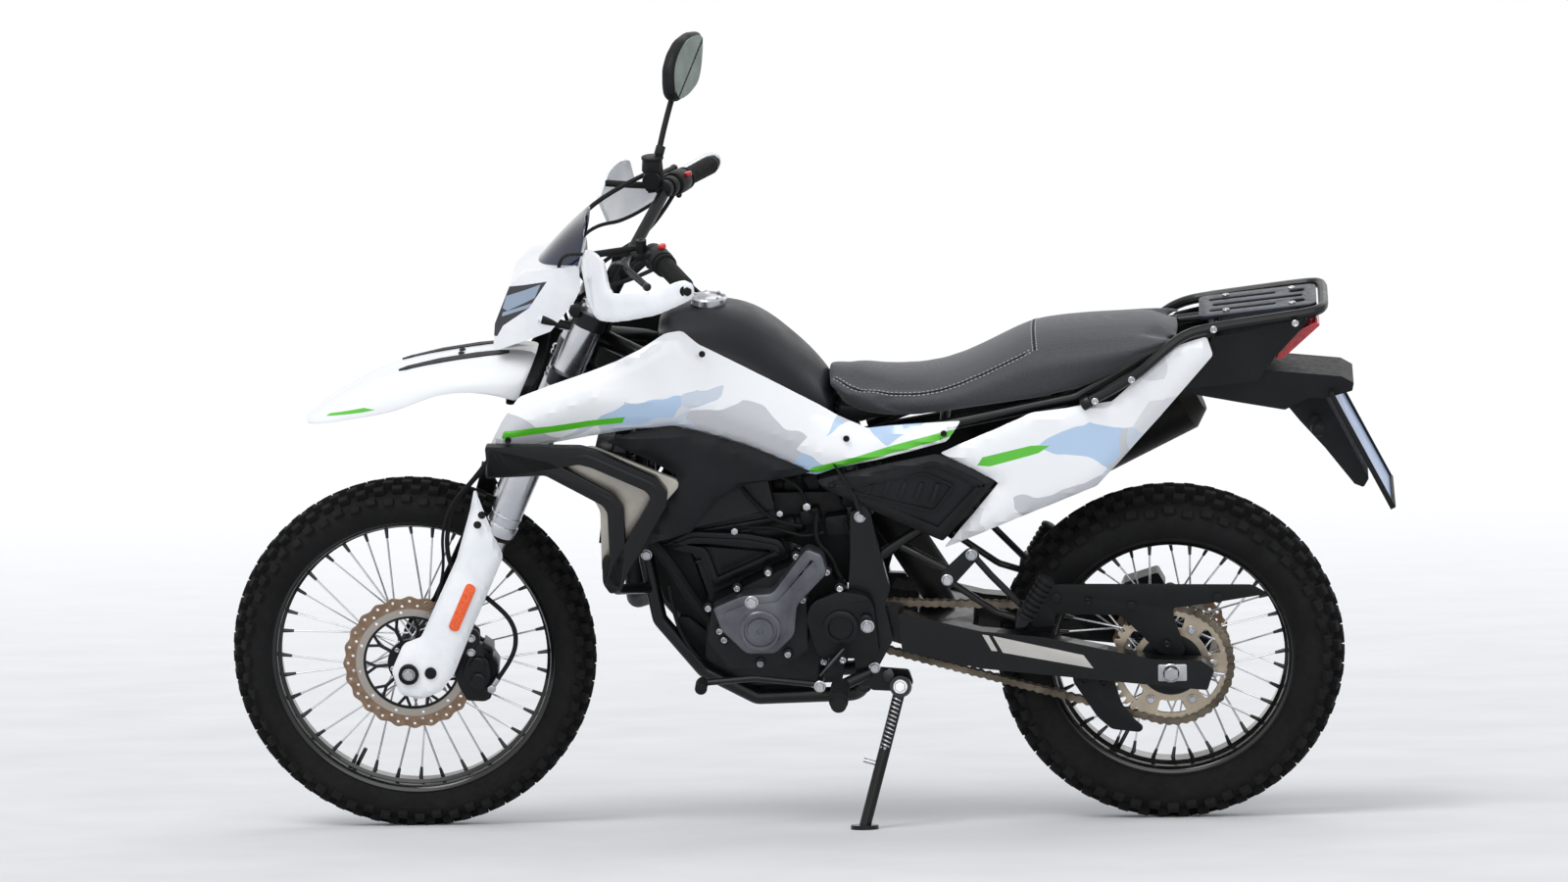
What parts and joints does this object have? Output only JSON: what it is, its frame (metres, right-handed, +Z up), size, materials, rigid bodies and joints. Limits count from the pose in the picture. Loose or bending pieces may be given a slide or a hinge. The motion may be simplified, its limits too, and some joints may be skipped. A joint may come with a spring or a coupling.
{
  "type": "dual sport motorcycle",
  "caption": "Dual sport motorcycle with knobbly tyres, wire wheels, beak fender, hand guards and a rear rack, leaning on its side stand; it steers, both wheels spin and the stand folds.",
  "frame": {"origin": "on the floor, in the middle of the leaning machine's footprint box", "axes": "+X to the rear, +Y to the rider's right, +Z up; the machine leans 15 degrees towards -Y on its side stand"},
  "size_m": [2.1816, 0.92, 1.4865],
  "materials": {
    "black_bar": "satin",
    "black_bracket": "satin",
    "black_caliper": "anodised",
    "black_control": "satin",
    "black_cover": "satin black",
    "black_exhaust": "matt heat paint",
    "black_frame": "satin black",
    "black_mirror": "gloss with glass face",
    "black_plastic": "grained",
    "black_rack": "powder coat",
    "black_rim": "anodised black",
    "black_swingarm": "satin black",
    "brake_disc_steel": "ground",
    "cast_fork_leg": "cast",
    "chain_steel": "oiled",
    "dark_cast_alloy": "dark cast",
    "dark_grey_plastic": "grained",
    "dark_tank_paint": "matt dark",
    "grey_cast_alloy": "painted grey metallic",
    "grip_rubber": "ribbed",
    "hose_rubber": "smooth",
    "knobbly_tyre": "knobbly",
    "lamp_lens": "clear over dark",
    "orange_reflector": "prismatic",
    "plate_paint": "blank",
    "radiator_alloy": "black finned",
    "red_lens": "clear red",
    "seat_vinyl": "grained vinyl",
    "shock_paint": "gloss",
    "silver_cap": "silver",
    "silver_fork": "silver anodised look",
    "silver_panel": "silver satin",
    "smoked_screen": "tinted",
    "sprocket_steel": "machined",
    "steel_control": "zinc and black",
    "white_panel": "gloss"
  },
  "bodies": {
    "chassis": {"frame": "black_frame", "rear_subframe": "black_frame", "engine": "dark_cast_alloy", "engine_side_covers": "grey_cast_alloy", "dark_engine_covers": "black_cover", "exhaust": "black_exhaust", "radiator": "radiator_alloy", "fuel_tank": "dark_tank_paint", "tank_cap": "silver_cap", "side_shrouds": "white_panel", "radiator_panels": "silver_panel", "crash_bars": "black_frame", "lower_fairings": "dark_grey_plastic", "seat": "seat_vinyl", "tail_panels": "white_panel", "side_covers": "black_plastic", "rear_rack": "black_rack", "tail_cowl": "black_plastic", "tail_light": "red_lens", "rear_fender": "black_plastic", "licence_plate": "plate_paint", "swingarm": "black_swingarm", "chain_guards": "black_plastic", "chain": "chain_steel", "rear_shock": "shock_paint", "foot_controls": "steel_control", "passenger_pegs": "black_bracket", "rear_caliper": "black_caliper"},
    "fork": {"fork_tubes": "silver_fork", "fork_legs": "cast_fork_leg", "fork_guards": "white_panel", "fork_reflectors": "orange_reflector", "triple_clamps": "black_bracket", "handlebar": "black_bar", "grips": "grip_rubber", "hand_controls": "black_control", "hand_guards": "white_panel", "mirror": "black_mirror", "headlight_cowl": "white_panel", "headlight_lens": "lamp_lens", "windscreen": "smoked_screen", "front_fender": "white_panel", "front_caliper": "black_caliper", "brake_hose": "hose_rubber"},
    "front_wheel_set": {"front_tyre": "knobbly_tyre", "front_wheel": "black_rim", "front_disc": "brake_disc_steel"},
    "rear_wheel_set": {"rear_tyre": "knobbly_tyre", "rear_wheel": "black_rim", "rear_sprocket": "sprocket_steel", "rear_disc": "brake_disc_steel"},
    "stand": {"side_stand": "black_bracket"}
  },
  "joints": [
    {"name": "steering", "type": "hinge", "parent": "chassis", "child": "fork", "pos_m": [-0.35914, 0.01838, 0.99518], "axis": [0.4115, -0.2359, 0.8803], "range_deg": [-40, 40]},
    {"name": "front_wheel_spin", "type": "hinge", "parent": "fork", "child": "front_wheel_set", "pos_m": [-0.74967, 0.19595, 0.33249], "axis": [0, 0.9659, 0.2588], "continuous": true},
    {"name": "rear_wheel_spin", "type": "hinge", "parent": "chassis", "child": "rear_wheel_set", "pos_m": [0.67533, 0.20006, 0.31717], "axis": [0, 0.9659, 0.2588], "continuous": true},
    {"name": "side_stand_fold", "type": "hinge", "parent": "chassis", "child": "stand", "pos_m": [0.17183, 0.05889, 0.26448], "axis": [-0.0515, -0.9969, 0.0589], "range_deg": [0, 96]}
  ]
}
